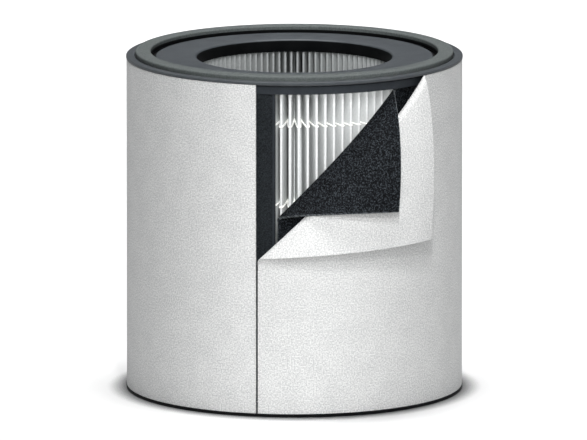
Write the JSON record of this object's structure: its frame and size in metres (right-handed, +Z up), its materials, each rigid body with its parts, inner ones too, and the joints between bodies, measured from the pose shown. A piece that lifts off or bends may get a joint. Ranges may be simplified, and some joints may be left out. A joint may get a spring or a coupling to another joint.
{
  "type": "air purifier drum filter",
  "caption": "Cylindrical three-layer drum filter for an air purifier, with moulded end caps, pleated media, carbon and fabric sheets and one turned-back corner.",
  "frame": {"origin": "centre of the flat underside, on the drum's axis", "axes": "+Z up along the drum's axis; -Y is the front, where the seam and the turned-back corner are"},
  "size_m": [0.26, 0.2786, 0.264],
  "materials": {
    "grey_plastic": "matte moulded grey plastic",
    "seal_foam": "matte grey sealing foam",
    "black_plastic": "matte near-black plastic",
    "stave_plastic": "matte dark grey plastic",
    "glue": "off-white hot-melt glue",
    "filter_media": "white non-woven filter media",
    "hook_tape": "dark woven hook tape",
    "loop_tape": "light grey loop tape",
    "carbon_sheet": "black non-woven sheet with carbon grains",
    "prefilter_fabric": "light grey non-woven fabric"
  },
  "bodies": {
    "drum": {"top_cap": "grey_plastic", "rim_seal": "seal_foam", "bottom_cap": "black_plastic", "closing_disc": "black_plastic", "cage_ring_top": "stave_plastic", "cage_ring_bottom": "stave_plastic", "glue_ring_top": "glue", "glue_ring_bottom": "glue", "pleated_media": "filter_media", "glue_bead_1": "glue", "glue_bead_2": "glue", "glue_bead_3": "glue", "glue_bead_4": "glue", "splice_tape": "filter_media", "stave_front": "stave_plastic", "hook_tape_front": "hook_tape", "stave_right": "stave_plastic", "hook_tape_right": "hook_tape", "stave_back": "stave_plastic", "hook_tape_back": "hook_tape", "stave_left": "stave_plastic", "hook_tape_left": "hook_tape", "loop_tape": "loop_tape", "carbon_wrap": "carbon_sheet", "carbon_bend": "carbon_sheet", "prefilter_wrap": "prefilter_fabric", "prefilter_bend": "prefilter_fabric"},
    "fabric_corner": {"prefilter_flap": "prefilter_fabric"},
    "carbon_corner": {"carbon_flap": "carbon_sheet"}
  },
  "joints": [
    {"name": "fabric_corner_lift", "type": "hinge", "parent": "drum", "child": "fabric_corner", "pos_m": [0.0458, -0.1312, 0.1866], "axis": [-0.667, -0.253, -0.7008], "range_deg": [0, 70]},
    {"name": "carbon_corner_lift", "type": "hinge", "parent": "drum", "child": "carbon_corner", "pos_m": [0.0365, -0.1223, 0.2022], "axis": [-0.6792, -0.1788, -0.7118], "range_deg": [0, 70]}
  ],
  "couplings": [
    {"joint": "carbon_corner_lift", "follows": "fabric_corner_lift", "ratio": 1}
  ]
}
